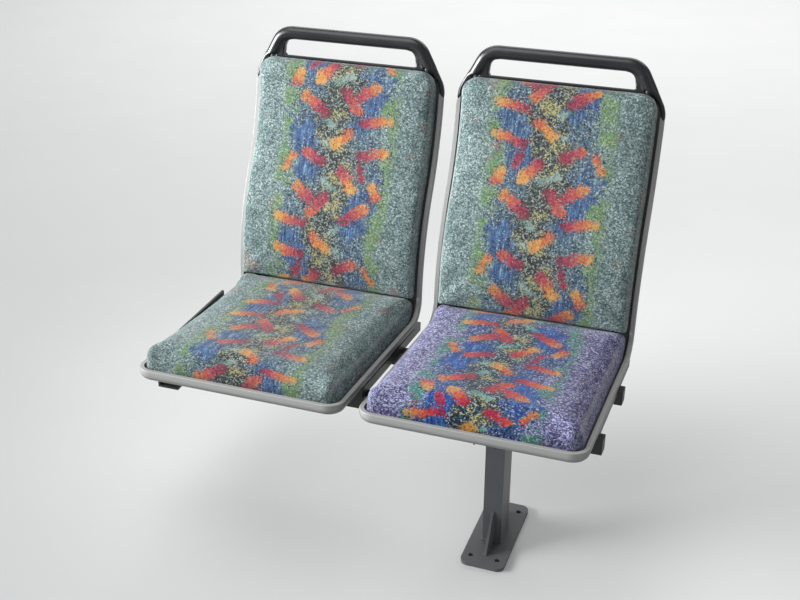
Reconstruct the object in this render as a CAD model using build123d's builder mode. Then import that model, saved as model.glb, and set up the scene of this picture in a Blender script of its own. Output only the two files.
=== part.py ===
from build123d import *
from math import asin, cos, degrees, radians, sin
import os

# Double passenger seat from a city bus, in millimetres.
# It faces -Y, the aisle is at +X, the bus wall at -X and the floor at Z = 0.
# Origin: centre of the leg's foot on the floor, below the middle of the aisle seat.

# Seats side by side
seat_width = 435.0
seat_gap = 30.0
wall_gap = 25.0  # shell side to the bus wall

# Sitting surface in side view: the bight is where back and squab meet
bight_y = 200.0
bight_z = 418.0
back_length = 484.0
back_recline = 17.2  # of the chord, from upright
back_bow = 13.0  # lumbar bulge below the middle, hollow above it
squab_length = 430.0
squab_tilt = 4.9
squab_dish = 8.0
bight_gap = 3.0  # squab cloth below the back pad's lower edge

# Moulded shell, measured in depth behind or below the cloth
back_rim_depth = 28.0
squab_rim_depth = 45.0
shell_side = 24.0  # of the moulding behind or below the rim
back_shell_depth = back_rim_depth + shell_side
squab_shell_depth = squab_rim_depth + shell_side
shell_wall = 4.0
rim_width = 9.0
rim_thickness = 4.0
rim_bend = 44.0  # inside radius of the rim at the bight
heel_radius = 62.0  # outside radius behind the bight
rim_land = 8.0  # flat part of the side, next to the rim
shell_edge_radius = shell_side - rim_land
rim_edge_radius = 2.0
squab_corner_radius = 34.0
front_gap = 1.0

# Knee recess in the back of the shell, and ribs under the squab
recess_depth = 10.0
recess_width = 292.0
recess_low = 110.0  # up the back from the bight
recess_high = 440.0
recess_corner = 46.0
rib_thickness = 4.0
rib_height = 9.0
rib_pitch = 84.0
rib_count = 3

# Pads
pad_gap = 1.0
pad_corner_radius = 40.0
pad_edge_radius = 14.0
squab_roll_radius = 20.0
squab_foot_radius = 9.0
pad_heel_radius = 34.0
pad_seat = 0.3  # foam to the shell's floor
under_back = 22.0  # squab pad behind the bight

# Steel side frames: a round upright in the shell, on a flat rail under it
tube_diameter = 19.0
tube_wall = 1.5
tube_gap = 0.5
upright_inset = 38.0  # from the shell's side
socket_depth = 9.0
socket_gap = 0.3
rail_width = 40.0
rail_height = 20.0
rail_wall = 2.0
rail_inset = 5.5
rail_front = 300.0  # ahead of the bight
rail_rear = -50.0
seat_on_rail = 0.3
cap_thickness = 3.0
plug_length = 12.0
plug_gap = 0.3

# Cross beams and leg
beam_size = 30.0
beam_wall = 2.0
front_beam = 278.0  # ahead of the bight
rear_beam = 62.0
beam_overhang = 4.0  # past the aisle seat's shell
saddle_rear = 38.0
saddle_front = 302.0
saddle_height = 25.0
saddle_wall = 3.0
post_width = 40.0
post_depth = 60.0
post_wall = 2.5
post_gap = 0.3
foot_width = 92.0
foot_length = 224.0
foot_thickness = 8.0
foot_corner = 16.0
foot_hole = 11.0
foot_spacing_x = 56.0
foot_spacing_y = 172.0
gusset_height = 78.0
gusset_length = 50.0
gusset_thickness = 5.0

# Wall bracket: an angle with slotted holes
bracket_length = 300.0
bracket_height = 84.0
bracket_flange = 46.0
bracket_thickness = 5.0
bracket_bottom = 292.0
bracket_centre_y = 30.0
slot_width = 9.0
slot_length = 20.0
slot_spacing_y = 100.0
slot_spacing_z = 44.0

# Grab handle on top of the back, measured up the back from the pad's top edge
bar_diameter = 28.0
bar_rise = 62.0
bar_corner_x = 165.0
bar_corner_radius = 52.0
shoulder_drop = 36.0
shoulder_radius = 60.0
horn_edge_radius = 5.0
tip_drop = 58.0
foot_drop = 4.0  # of the bar's rounded ends, inside the horns
strip_drop = 7.0  # of the strip's lower edge, behind the pad's top
strip_height = 8.5
strip_fall = 6.0  # of its upper face, towards the rear
slot_low_x = 153.0
slot_high_x = 149.0
slot_corner_radius = 17.0
web_thickness = 16.0
handle_gap = 0.3

seats = {"window": -(seat_width + seat_gap), "aisle": 0.0}
half = seat_width / 2


def meet(start, along, other, across):
    """Where two lines of the side view or of the handle's face cross."""
    step = other - start
    turn = along.X * across.Y - along.Y * across.X
    return start + along * ((step.X * across.Y - step.Y * across.X) / turn)


# Side view, as (Y, Z): the back is an S of two like arcs, the squab a line with a shallow dish
bight = Vector(bight_y, bight_z)
chord_up = Vector(sin(radians(back_recline)), cos(radians(back_recline)))
chord_behind = Vector(chord_up.Y, -chord_up.X)
bow_radius = ((back_length / 4) ** 2 + back_bow**2) / (2 * back_bow)
bow_angle = asin(back_length / 4 / bow_radius)
end_lean = back_recline - degrees(bow_angle)
end_up = Vector(sin(radians(end_lean)), cos(radians(end_lean)))
squab_forward = Vector(-cos(radians(squab_tilt)), sin(radians(squab_tilt)))
squab_under = Vector(-squab_forward.Y, squab_forward.X)
squab_heel = bight - Vector(0, bight_gap)


def back_point(share, depth):
    """A point of the back: share is 0 at the bight and 1 at the top, depth is behind the cloth."""
    side = 1 if share <= 0.5 else -1
    middle = 0.25 if share <= 0.5 else 0.75
    centre = bight + chord_up * back_length * middle + chord_behind * side * bow_radius * cos(bow_angle)
    swing = bow_angle * 4 * (share - middle)
    spoke = chord_up * sin(swing) - chord_behind * side * cos(swing)
    return centre + spoke * (bow_radius - side * depth)


def squab_point(ahead, depth):
    """A point of the squab: ahead of the bight, and below the cloth's straight line."""
    return squab_heel + squab_forward * ahead + squab_under * depth


def flat(*points):
    """Points as plain pairs, which follow the plane that they are drawn on."""
    return [(point.X, point.Y) for point in points]


def back_curve(depth):
    """The back's S at one depth, drawn upwards."""
    ThreePointArc(*flat(back_point(0, depth), back_point(0.25, depth), back_point(0.5, depth)))
    ThreePointArc(*flat(back_point(0.5, depth), back_point(0.75, depth), back_point(1, depth)))


def back_band(near, far):
    """A layer of the back between two depths."""
    with BuildSketch() as band:
        with BuildLine():
            back_curve(near)
            Line(back_point(1, near), back_point(1, far))
            back_curve(far)
            Line(back_point(0, far), back_point(0, near))
        make_face()
    return band.sketch


def shell_band(back_near, back_far, squab_near, squab_far, top, front, bend, heel):
    """The L of the shell between two depths, with its inside bend and its heel rounded."""
    inner = meet(back_point(0, back_near), end_up, squab_point(0, squab_near), squab_forward)
    outer = meet(back_point(0, back_far), end_up, squab_point(0, squab_far), squab_forward)
    with BuildSketch() as band:
        with BuildLine():
            back_curve(back_near)
            Polyline(
                back_point(1, back_near),
                back_point(1, back_near) + end_up * top,
                back_point(1, back_far) + end_up * top,
                back_point(1, back_far),
            )
            back_curve(back_far)
            Polyline(
                back_point(0, back_far),
                outer,
                squab_point(front, squab_far),
                squab_point(front, squab_near),
                inner,
                back_point(0, back_near),
            )
        make_face()
        fillet(band.vertices().sort_by_distance(inner)[0], bend)
        fillet(band.vertices().sort_by_distance(outer)[0], heel)
    return band.sketch


def in_space(point, x=0.0):
    """A side-view point placed across the seat."""
    return Vector(x, point.X, point.Y)


def upright_plane(x, along, start=None):
    """Square to the back's upper and lower ends, at an upright, so far up from the pad's top."""
    start = start or back_point(1, upright_depth)
    return Plane(
        origin=in_space(start + end_up * along, x),
        x_dir=(1, 0, 0),
        z_dir=(0, end_up.X, end_up.Y),
    )


def corner_edges(piece, point, out):
    """The edges nearest to a side-view point on both sides of the seat."""
    return [piece.edges().sort_by_distance(in_space(point, x))[0] for x in (-out, out)]


def write_pair(part, name):
    """Write the same piece once for each seat."""
    for seat, centre in seats.items():
        piece = part.moved(Location((centre, 0, 0)))
        piece.label = f"{name}_{seat}"
        export_step(piece, f"parts/{piece.label}.step")


def write_one(part, name):
    part.label = name
    export_step(part, f"parts/{name}.step")


os.makedirs("parts", exist_ok=True)

# Plane of the back's top edge: x across, y up the back, z towards the sitter
top_edge = Plane(
    origin=in_space(back_point(1, 0)),
    x_dir=(1, 0, 0),
    z_dir=(0, -end_up.Y, end_up.X),
)


def squab_plane(ahead, depth):
    """Across the seat: x to the aisle, z forward along the squab."""
    return Plane(
        origin=in_space(squab_point(ahead, depth)),
        x_dir=(1, 0, 0),
        z_dir=(0, squab_forward.X, squab_forward.Y),
    )


# Back pad: cloth-covered foam, with a narrower layer that sits inside the shell
pad_half = half - rim_width - pad_gap
upright_x = half - upright_inset
inner_half = upright_x - tube_diameter / 2 - pad_gap
recess_inside = back_shell_depth - recess_depth - shell_wall
with BuildPart() as pad_core:
    with BuildSketch(Plane.YZ):
        add(back_band(back_rim_depth, recess_inside - pad_seat))
    extrude(amount=inner_half, both=True)
    core_top = upright_plane(0, -strip_drop - pad_gap, back_point(1, back_rim_depth))
    split(bisect_by=core_top, keep=Keep.BOTTOM)
with BuildPart() as back_pad:
    with BuildSketch(Plane.YZ):
        add(back_band(0, back_rim_depth))
    extrude(amount=pad_half, both=True)
    fillet(corner_edges(back_pad, back_point(1, back_rim_depth / 2), pad_half), pad_corner_radius)
    fillet(corner_edges(back_pad, back_point(0.25, 0), pad_half), pad_edge_radius)
    add(pad_core.part)
write_pair(back_pad.part, "back_pad")

# Squab pad: dished on top, rounded over the front edge, and let into the shell down to its floor
with BuildPart() as squab_pad:
    floor = squab_shell_depth - shell_wall - pad_seat
    with BuildSketch(Plane.YZ) as squab_side:
        with BuildLine():
            ThreePointArc(
                squab_point(0, 0),
                squab_point(squab_length / 2, squab_dish),
                squab_point(squab_length, 0),
            )
            Polyline(
                squab_point(squab_length, 0),
                squab_point(squab_length, floor),
                squab_point(-under_back, floor),
                squab_point(-under_back, 0),
                squab_point(0, 0),
            )
        make_face()
        heel_corner = squab_side.vertices().sort_by_distance(squab_point(-under_back, floor))[0]
        fillet(heel_corner, pad_heel_radius)
    extrude(amount=pad_half, both=True)
    front_edge = squab_point(squab_length, floor / 2)
    fillet(corner_edges(squab_pad, front_edge, pad_half), squab_corner_radius - rim_width - pad_gap)
    foot_edge = squab_point(squab_length / 2, floor)
    fillet(corner_edges(squab_pad, foot_edge, pad_half)[0], squab_foot_radius)
    side_edge = squab_point(squab_length / 2, squab_dish)
    fillet(corner_edges(squab_pad, side_edge, pad_half)[0], squab_roll_radius)
write_pair(squab_pad.part, "squab_pad")

# Handle outline on the back's top edge plane: outer side from the tips up over the shoulders to the bar
shoulder = Vector(half, -shoulder_drop)
bar_corner = Vector(bar_corner_x, bar_rise)
slope = (bar_corner - shoulder).normalized()
slope_inward = Vector(-slope.Y, slope.X)
strip_top = strip_height - strip_drop
strip_end = meet(shoulder, slope, Vector(0, strip_top), Vector(1, 0))
bar_radius = bar_diameter / 2
bar_line = Vector(0, bar_rise - bar_radius)
bar_side = shoulder + slope_inward * bar_radius
bar_bend = meet(bar_side, slope, bar_line, Vector(1, 0))
bar_foot = meet(bar_side, slope, Vector(0, -foot_drop), Vector(1, 0))
upright_depth = back_shell_depth - shell_wall - tube_gap - tube_diameter / 2


def mirrored(point):
    return Vector(-point.X, point.Y)


with BuildSketch() as pad_outline:
    with Locations((0, -strip_drop)):
        Rectangle(2 * (pad_half + pad_gap), 2 * tip_drop, align=(Align.CENTER, Align.MAX))
    fillet(pad_outline.vertices().group_by(Axis.Y)[-1], pad_corner_radius + pad_gap)

# The strip along the pad's top and the horns outside its corners, drawn past the horns' tips
horn_inner = Vector(pad_half + pad_gap, -strip_drop - pad_corner_radius - pad_gap)
tip = Vector(half, -tip_drop)
below_tip = tip - Vector(0, tip_drop)
with BuildSketch() as handle_base:
    with BuildLine():
        Polyline(
            below_tip,
            shoulder,
            strip_end,
            mirrored(strip_end),
            mirrored(shoulder),
            mirrored(below_tip),
            below_tip,
        )
    make_face()
    for corner in (shoulder, mirrored(shoulder)):
        fillet(handle_base.vertices().sort_by_distance(corner)[0], shoulder_radius)

# All that lies above the shell's upper edge, which meets the strip and the horns
tip_beyond = horn_inner + (tip - horn_inner) * 3
with BuildSketch() as above_shell:
    with BuildLine():
        Polyline(
            tip_beyond,
            (tip_beyond.X, 2 * bar_rise),
            (-tip_beyond.X, 2 * bar_rise),
            mirrored(tip_beyond),
            mirrored(horn_inner),
            horn_inner,
            tip_beyond,
        )
    make_face()
    add(pad_outline.sketch, mode=Mode.SUBTRACT)

# The web between the bar's ends and the slot
with BuildSketch() as handle_web:
    with BuildLine():
        Polyline(
            bar_foot,
            bar_bend,
            mirrored(bar_bend),
            mirrored(bar_foot),
            bar_foot,
        )
    make_face()
    with BuildSketch(mode=Mode.SUBTRACT) as slot:
        with BuildLine():
            Polyline(
                (slot_low_x, strip_top),
                (slot_high_x, bar_rise - bar_diameter),
                (-slot_high_x, bar_rise - bar_diameter),
                (-slot_low_x, strip_top),
                (slot_low_x, strip_top),
            )
        make_face()
        fillet(slot.vertices().group_by(Axis.Y)[-1], slot_corner_radius)
        with Locations((0, bar_rise - bar_diameter)):
            Rectangle(
                2 * (slot_high_x - slot_corner_radius),
                bar_radius,
                align=(Align.CENTER, Align.MIN),
            )

with BuildPart() as grab_handle:
    with BuildSketch(top_edge.offset(-back_rim_depth)):
        add(handle_base.sketch)
    extrude(amount=-(back_shell_depth - back_rim_depth))
    for depth, radius in ((back_rim_depth, horn_edge_radius), (back_shell_depth, shell_edge_radius)):
        side_face = top_edge.offset(-depth)
        for low_end in (below_tip, mirrored(below_tip)):
            beside = side_face.from_local_coords(low_end + Vector(0, tip_drop / 2))
            fillet(grab_handle.edges().sort_by_distance(beside)[0], radius)
    with BuildSketch(top_edge.offset(-upright_depth)):
        add(handle_web.sketch)
    extrude(amount=web_thickness / 2, both=True)
    with BuildLine(top_edge.offset(-upright_depth)) as bar_path:
        FilletPolyline(
            *flat(bar_foot, bar_bend, mirrored(bar_bend), mirrored(bar_foot)),
            radius=bar_corner_radius - bar_radius,
        )
    for run in bar_path.edges():
        with BuildSketch(Plane(origin=run @ 0, z_dir=run % 0)):
            Circle(bar_radius)
        if run.geom_type == GeomType.LINE:
            extrude(amount=run.length)
        else:
            sweep(path=run)
    for end in (bar_foot, mirrored(bar_foot)):
        with Locations(top_edge.offset(-upright_depth).from_local_coords(end)):
            Sphere(bar_radius)
    with BuildSketch(Plane.YZ):
        with BuildLine():
            strip_front = back_point(1, back_rim_depth) + end_up * strip_top
            strip_rear = back_point(1, back_shell_depth) + end_up * strip_top
            Polyline(strip_front, strip_rear, strip_rear - end_up * strip_fall, strip_front)
        make_face()
    extrude(amount=slot_low_x, both=True, mode=Mode.SUBTRACT)
    with BuildSketch(top_edge.offset(-back_rim_depth - pad_gap)):
        add(pad_outline.sketch.moved(Location((0, strip_height + pad_gap, 0))))
    extrude(amount=2 * back_rim_depth, mode=Mode.SUBTRACT)
    with BuildSketch(top_edge):
        add(above_shell.sketch)
    extrude(amount=-2 * back_shell_depth, mode=Mode.INTERSECT)
    socket_start = -strip_drop - bar_radius
    for x in (-upright_x, upright_x):
        with BuildSketch(upright_plane(x, socket_start)):
            Circle(tube_diameter / 2 + socket_gap)
        extrude(amount=socket_depth + socket_gap - socket_start, mode=Mode.SUBTRACT)
write_pair(grab_handle.part, "grab_handle")

# Seat shell: one moulding from the handle down the back, round the bight and under the squab.
# Its blocks reach up to the strip's top and are then cut along the strip and the horns.
shell_front = squab_length + front_gap + rim_width


def knee_block(grow):
    """The block of air in the back of the shell, with its curved floor."""
    floor = back_shell_depth - recess_depth - grow
    with BuildPart() as block:
        with BuildSketch(Plane.YZ):
            add(back_band(floor, back_shell_depth + recess_depth))
        extrude(amount=recess_width / 2 + grow, both=True)
        with BuildSketch(Plane.XZ):
            with Locations((0, bight_z + (recess_low + recess_high) / 2)):
                RectangleRounded(
                    recess_width + 2 * grow,
                    recess_high - recess_low + 2 * grow,
                    recess_corner + grow,
                )
        extrude(amount=-(bight_y + back_length), mode=Mode.INTERSECT)
    return block.part


knee_outside = knee_block(0)
knee_inside = knee_block(shell_wall)


def shell_block(half_width, front_radius, edge_radius, **depths):
    """The shell's L at one size, its front corners rounded in plan and its outer edges rounded too."""
    with BuildPart() as block:
        with BuildSketch(Plane.YZ):
            add(shell_band(**depths))
        extrude(amount=half_width, both=True)
        middle = (depths["squab_near"] + depths["squab_far"]) / 2
        fillet(corner_edges(block, squab_point(depths["front"], middle), half_width), front_radius)
        if edge_radius:
            fillet(corner_edges(block, back_point(0.25, depths["back_far"]), half_width), edge_radius)
    return block.part


shell_outside = shell_block(
    half,
    squab_corner_radius,
    shell_edge_radius,
    back_near=back_rim_depth,
    back_far=back_shell_depth,
    squab_near=squab_rim_depth,
    squab_far=squab_shell_depth,
    top=strip_top,
    front=shell_front,
    bend=rim_bend,
    heel=heel_radius,
)
shell_cavity = shell_block(
    half - shell_wall,
    squab_corner_radius - shell_wall,
    shell_edge_radius - shell_wall,
    back_near=back_rim_depth + rim_thickness,
    back_far=back_shell_depth - shell_wall,
    squab_near=squab_rim_depth + rim_thickness,
    squab_far=squab_shell_depth - shell_wall,
    top=strip_top + shell_wall,
    front=shell_front - shell_wall,
    bend=rim_bend + rim_thickness,
    heel=heel_radius - shell_wall,
)
shell_mouth = shell_block(
    half - rim_width,
    squab_corner_radius - rim_width,
    0,
    back_near=back_rim_depth - rim_thickness,
    back_far=back_rim_depth + 2 * rim_thickness,
    squab_near=squab_rim_depth - rim_thickness,
    squab_far=squab_rim_depth + 2 * rim_thickness,
    top=strip_top + shell_wall,
    front=shell_front - rim_width,
    bend=rim_bend - rim_thickness,
    heel=rim_bend + 2 * rim_thickness,
)

with BuildPart() as seat_shell:
    add(shell_outside)
    fillet(corner_edges(seat_shell, back_point(0.25, back_rim_depth), half), rim_edge_radius)
    add(knee_outside, mode=Mode.SUBTRACT)
    add(shell_cavity - knee_inside, mode=Mode.SUBTRACT)
    add(shell_mouth, mode=Mode.SUBTRACT)
    with BuildSketch(top_edge):
        add(offset(above_shell.sketch, handle_gap, kind=Kind.INTERSECTION, mode=Mode.PRIVATE))
    extrude(amount=-2 * back_shell_depth, mode=Mode.SUBTRACT)
    for x in (-upright_x, upright_x):
        with BuildSketch(upright_plane(x, -2 * squab_shell_depth, back_point(0, upright_depth))):
            Circle(tube_diameter / 2 + pad_gap)
        extrude(amount=2 * squab_shell_depth, mode=Mode.SUBTRACT)
    for place in range(rib_count):
        with BuildSketch(Plane.YZ.offset((place - (rib_count - 1) / 2) * rib_pitch)):
            with BuildLine():
                Polyline(
                    squab_point(shell_front - squab_corner_radius, squab_shell_depth - shell_wall / 2),
                    squab_point(shell_front - 2 * squab_corner_radius, squab_shell_depth + rib_height),
                    squab_point(heel_radius, squab_shell_depth + rib_height),
                    squab_point(heel_radius / 2, squab_shell_depth - shell_wall / 2),
                    squab_point(shell_front - squab_corner_radius, squab_shell_depth - shell_wall / 2),
                )
            make_face()
        extrude(amount=rib_thickness / 2, both=True)
write_pair(seat_shell.part, "seat_shell")

# Side frames: rail under the squab, upright inside the back, one each side of a seat
rail_x = half - rail_inset - rail_width / 2
rail_top = squab_shell_depth + seat_on_rail
beam_top = rail_top + rail_height
for side, sign in (("left", -1), ("right", 1)):
    with BuildPart() as side_frame:
        with BuildSketch(squab_plane(rail_rear, rail_top + rail_height / 2)):
            with Locations((sign * rail_x, 0)):
                Rectangle(rail_width, rail_height)
                Rectangle(rail_width - 2 * rail_wall, rail_height - 2 * rail_wall, mode=Mode.SUBTRACT)
        extrude(amount=rail_front - rail_rear)
        foot = meet(
            back_point(0, upright_depth),
            end_up,
            squab_point(0, rail_top + rail_wall / 2),
            squab_forward,
        )
        with BuildLine(Plane.YZ.offset(sign * upright_x)) as upright_path:
            Line(*flat(foot, back_point(0, upright_depth)))
            back_curve(upright_depth)
            top = back_point(1, upright_depth)
            Line(*flat(top, top + end_up * socket_depth))
        with BuildSketch(upright_plane(sign * upright_x, 0, foot)):
            Circle(tube_diameter / 2)
            Circle(tube_diameter / 2 - tube_wall, mode=Mode.SUBTRACT)
        sweep(path=upright_path.line)
    write_pair(side_frame.part, f"side_frame_{side}")

# Plastic caps in both ends of each rail
with BuildPart() as rail_caps:
    for ahead, inward in ((rail_front, -1), (rail_rear, 1)):
        for x in (-rail_x, rail_x):
            with BuildSketch(squab_plane(ahead, rail_top + rail_height / 2)):
                with Locations((x, 0)):
                    Rectangle(rail_width, rail_height)
            extrude(amount=-inward * cap_thickness)
            with BuildSketch(squab_plane(ahead, rail_top + rail_height / 2)):
                with Locations((x, 0)):
                    Rectangle(
                        rail_width - 2 * (rail_wall + plug_gap),
                        rail_height - 2 * (rail_wall + plug_gap),
                    )
            extrude(amount=inward * plug_length)
write_pair(rail_caps.part, "rail_caps")

# Cross beams from the wall bracket to the aisle, with capped ends
wall_x = seats["window"] - half - wall_gap
beam_start = wall_x + bracket_thickness
beam_end = half + beam_overhang - cap_thickness
beam_bottom = beam_top + beam_size
for place, ahead in (("front", front_beam), ("rear", rear_beam)):
    middle = squab_point(ahead, beam_top + beam_size / 2)
    with BuildPart() as beam:
        with BuildSketch(Plane.YZ.offset(beam_start)):
            with Locations(middle):
                Rectangle(beam_size, beam_size, rotation=-squab_tilt)
                Rectangle(
                    beam_size - 2 * beam_wall,
                    beam_size - 2 * beam_wall,
                    rotation=-squab_tilt,
                    mode=Mode.SUBTRACT,
                )
        extrude(amount=beam_end - beam_start)
    write_one(beam.part, f"beam_{place}")
    with BuildPart() as beam_cap:
        with BuildSketch(Plane.YZ.offset(beam_end)):
            with Locations(middle):
                Rectangle(beam_size, beam_size, rotation=-squab_tilt)
        extrude(amount=cap_thickness)
        with BuildSketch(Plane.YZ.offset(beam_end)):
            with Locations(middle):
                plug = beam_size - 2 * (beam_wall + plug_gap)
                Rectangle(plug, plug, rotation=-squab_tilt)
        extrude(amount=-plug_length)
    write_one(beam_cap.part, f"beam_cap_{place}")

# Leg: a channel saddle under both beams, a post, its foot plate and two gussets
with BuildPart() as leg_saddle:
    inside = post_width + 2 * post_gap
    with BuildSketch(squab_plane(saddle_rear, beam_bottom)):
        Rectangle(inside + 2 * saddle_wall, saddle_height, align=(Align.CENTER, Align.MAX))
        with Locations((0, -saddle_wall)):
            Rectangle(inside, saddle_height, align=(Align.CENTER, Align.MAX), mode=Mode.SUBTRACT)
    extrude(amount=saddle_front - saddle_rear)
write_one(leg_saddle.part, "leg_saddle")


def post_block(shrink, low, depth):
    """Side view of the post, with a sloping top."""
    slant = squab_point(0, depth)
    reach = post_depth / 2 - shrink
    with BuildSketch() as block:
        with BuildLine():
            Polyline(
                (-reach, low),
                meet(Vector(-reach, low), Vector(0, 1), slant, squab_forward),
                meet(Vector(reach, low), Vector(0, 1), slant, squab_forward),
                (reach, low),
                (-reach, low),
            )
        make_face()
    return block.sketch


with BuildPart() as leg_post:
    with BuildSketch(Plane.YZ):
        add(post_block(0, foot_thickness, beam_bottom + saddle_wall))
    extrude(amount=post_width / 2, both=True)
    with BuildSketch(Plane.YZ):
        add(post_block(post_wall, 0, beam_bottom))
    extrude(amount=post_width / 2 - post_wall, both=True, mode=Mode.SUBTRACT)
write_one(leg_post.part, "leg_post")

with BuildPart() as leg_foot:
    with BuildSketch():
        RectangleRounded(foot_width, foot_length, foot_corner)
        with GridLocations(foot_spacing_x, foot_spacing_y, 2, 2):
            Circle(foot_hole / 2, mode=Mode.SUBTRACT)
    extrude(amount=foot_thickness)
write_one(leg_foot.part, "leg_foot")

with BuildPart() as leg_gussets:
    for sign in (-1, 1):
        with BuildSketch(Plane.YZ):
            with BuildLine():
                Polyline(
                    (sign * post_depth / 2, foot_thickness),
                    (sign * (post_depth / 2 + gusset_length), foot_thickness),
                    (sign * post_depth / 2, foot_thickness + gusset_height),
                    (sign * post_depth / 2, foot_thickness),
                )
            make_face()
        extrude(amount=gusset_thickness / 2, both=True)
write_one(leg_gussets.part, "leg_gussets")

# Wall bracket: a steel angle along the wall, slotted between the beams
with BuildPart() as wall_bracket:
    with BuildSketch(Plane.XZ.offset(-bracket_centre_y)):
        with Locations((wall_x, bracket_bottom)):
            Rectangle(bracket_thickness, bracket_height, align=(Align.MIN, Align.MIN))
            Rectangle(bracket_flange, bracket_thickness, align=(Align.MIN, Align.MIN))
    extrude(amount=bracket_length / 2, both=True)
    with BuildSketch(Plane.YZ.offset(wall_x)):
        with Locations((bracket_centre_y, bracket_bottom + bracket_height / 2)):
            with GridLocations(slot_spacing_y, slot_spacing_z, 2, 2):
                SlotOverall(slot_length, slot_width)
    extrude(amount=bracket_thickness, mode=Mode.SUBTRACT)
write_one(wall_bracket.part, "wall_bracket")
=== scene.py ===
from math import asin, atan2, cos, pi, radians, sin

import bmesh
import bpy
import numpy as np
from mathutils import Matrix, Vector
from mathutils.noise import noise as lattice_noise


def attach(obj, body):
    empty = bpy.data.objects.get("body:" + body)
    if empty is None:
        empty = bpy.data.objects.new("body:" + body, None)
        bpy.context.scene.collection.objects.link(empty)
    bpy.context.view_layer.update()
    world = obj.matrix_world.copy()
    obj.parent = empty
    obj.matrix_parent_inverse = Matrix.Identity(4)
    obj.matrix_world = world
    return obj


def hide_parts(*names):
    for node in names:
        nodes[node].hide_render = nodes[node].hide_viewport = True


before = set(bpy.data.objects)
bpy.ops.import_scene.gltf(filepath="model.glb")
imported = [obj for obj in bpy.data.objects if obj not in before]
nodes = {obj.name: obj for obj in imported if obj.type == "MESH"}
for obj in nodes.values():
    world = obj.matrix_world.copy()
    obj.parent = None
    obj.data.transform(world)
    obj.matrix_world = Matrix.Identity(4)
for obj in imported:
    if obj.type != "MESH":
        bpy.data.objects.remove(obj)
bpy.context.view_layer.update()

# Double passenger seat from a city bus, in metres, in the frame of the CAD model:
# it faces -Y, the aisle is at +X, the bus wall at -X and the floor at Z = 0.

collection = bpy.context.scene.collection

# Sizes repeated from the CAD source
seats = {"window": -0.465, "aisle": 0.0}
bight = Vector((0.200, 0.418))
back_length = 0.484
back_recline = radians(17.2)
back_bow = 0.013
back_rim_depth = 0.028
back_shell_depth = 0.052
squab_length = 0.430
squab_tilt = radians(4.9)
squab_dish = 0.008
squab_rim_depth = 0.045
upright_x = 0.1795
rail_x = 0.192
rail_bottom = 0.0893
beam_bottom = 0.1193
front_beam = 0.278
rear_beam = 0.062
saddle_wall = 0.003
post_half = (0.020, 0.030)
foot_thickness = 0.008
gusset_length = 0.050
gusset_height = 0.078
gusset_thickness = 0.005
beam_size = 0.030
rail_width = 0.040
wall_x = -0.7075
bracket_thickness = 0.005

# Side view, as (Y, Z)
chord_up = Vector((sin(back_recline), cos(back_recline)))
chord_behind = Vector((chord_up.y, -chord_up.x))
bow_radius = ((back_length / 4) ** 2 + back_bow**2) / (2 * back_bow)
bow_angle = asin(back_length / 4 / bow_radius)
end_lean = back_recline - bow_angle
end_up = Vector((sin(end_lean), cos(end_lean)))
end_behind = Vector((end_up.y, -end_up.x))
squab_forward = Vector((-cos(squab_tilt), sin(squab_tilt)))
squab_under = Vector((-squab_forward.y, squab_forward.x))
squab_heel = bight - Vector((0, 0.003))
back_cloth = 4 * bow_radius * bow_angle


def bow_centre(side):
    middle = 0.25 if side > 0 else 0.75
    return bight + chord_up * back_length * middle + chord_behind * side * bow_radius * cos(bow_angle)


def back_point(share, depth):
    """A point of the back: share is 0 at the bight and 1 at the top, depth is behind the cloth."""
    side = 1 if share <= 0.5 else -1
    swing = bow_angle * 4 * (share - (0.25 if side > 0 else 0.75))
    spoke = chord_up * sin(swing) - chord_behind * side * cos(swing)
    return bow_centre(side) + spoke * (bow_radius - side * depth)


def back_place(y, z):
    """Share up the back and depth behind its cloth, for a point of the side view."""
    for side, middle in ((1, 0.25), (-1, 0.75)):
        spoke = Vector((y, z)) - bow_centre(side)
        swing = atan2(spoke.dot(chord_up), -side * spoke.dot(chord_behind))
        share = middle + swing / bow_angle / 4
        depth = side * (bow_radius - spoke.length)
        if share <= 0.5:
            break
    return share, depth


def squab_point(ahead, depth):
    return squab_heel + squab_forward * ahead + squab_under * depth


def squab_place(y, z):
    """Distance ahead of the bight and depth below the dished cloth."""
    step = Vector((y, z)) - squab_heel
    ahead = step.dot(squab_forward)
    share = min(max(ahead / squab_length, 0), 1)
    return ahead, step.dot(squab_under) - 4 * squab_dish * share * (1 - share)


def in_space(point, x):
    return Vector((x, point.x, point.y))


# Materials are built from shader nodes with these few helpers


def feed(tree, socket, value):
    if isinstance(value, bpy.types.NodeSocket):
        tree.links.new(value, socket)
    else:
        socket.default_value = value


def node(tree, kind, inputs, **settings):
    made = tree.nodes.new(kind)
    for key, value in settings.items():
        setattr(made, key, value)
    for key, value in inputs.items():
        feed(tree, made.inputs[key], value)
    return made


def calc(tree, operation, *values):
    made = node(tree, "ShaderNodeMath", dict(enumerate(values)), operation=operation)
    return made.outputs[0]


def mix(tree, share, first, second):
    made = node(tree, "ShaderNodeMix", {0: share, 6: first, 7: second}, data_type="RGBA")
    return made.outputs[2]


def split(tree, vector):
    """The X, Y and Z of a vector."""
    return node(tree, "ShaderNodeSeparateXYZ", {0: vector}).outputs


def dot(tree, first, second):
    made = node(tree, "ShaderNodeVectorMath", {0: first, 1: second}, operation="DOT_PRODUCT")
    return made.outputs[1]


def scaled(tree, place, by, shift=(0.0, 0.0, 0.0)):
    made = node(tree, "ShaderNodeVectorMath", {0: place, 1: by, 2: shift}, operation="MULTIPLY_ADD")
    return made.outputs[0]


def grain(tree, place, scale, detail=2.0, rough=0.5):
    inputs = {"Vector": place, "Scale": scale, "Detail": detail, "Roughness": rough}
    return node(tree, "ShaderNodeTexNoise", inputs).outputs[0]


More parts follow.
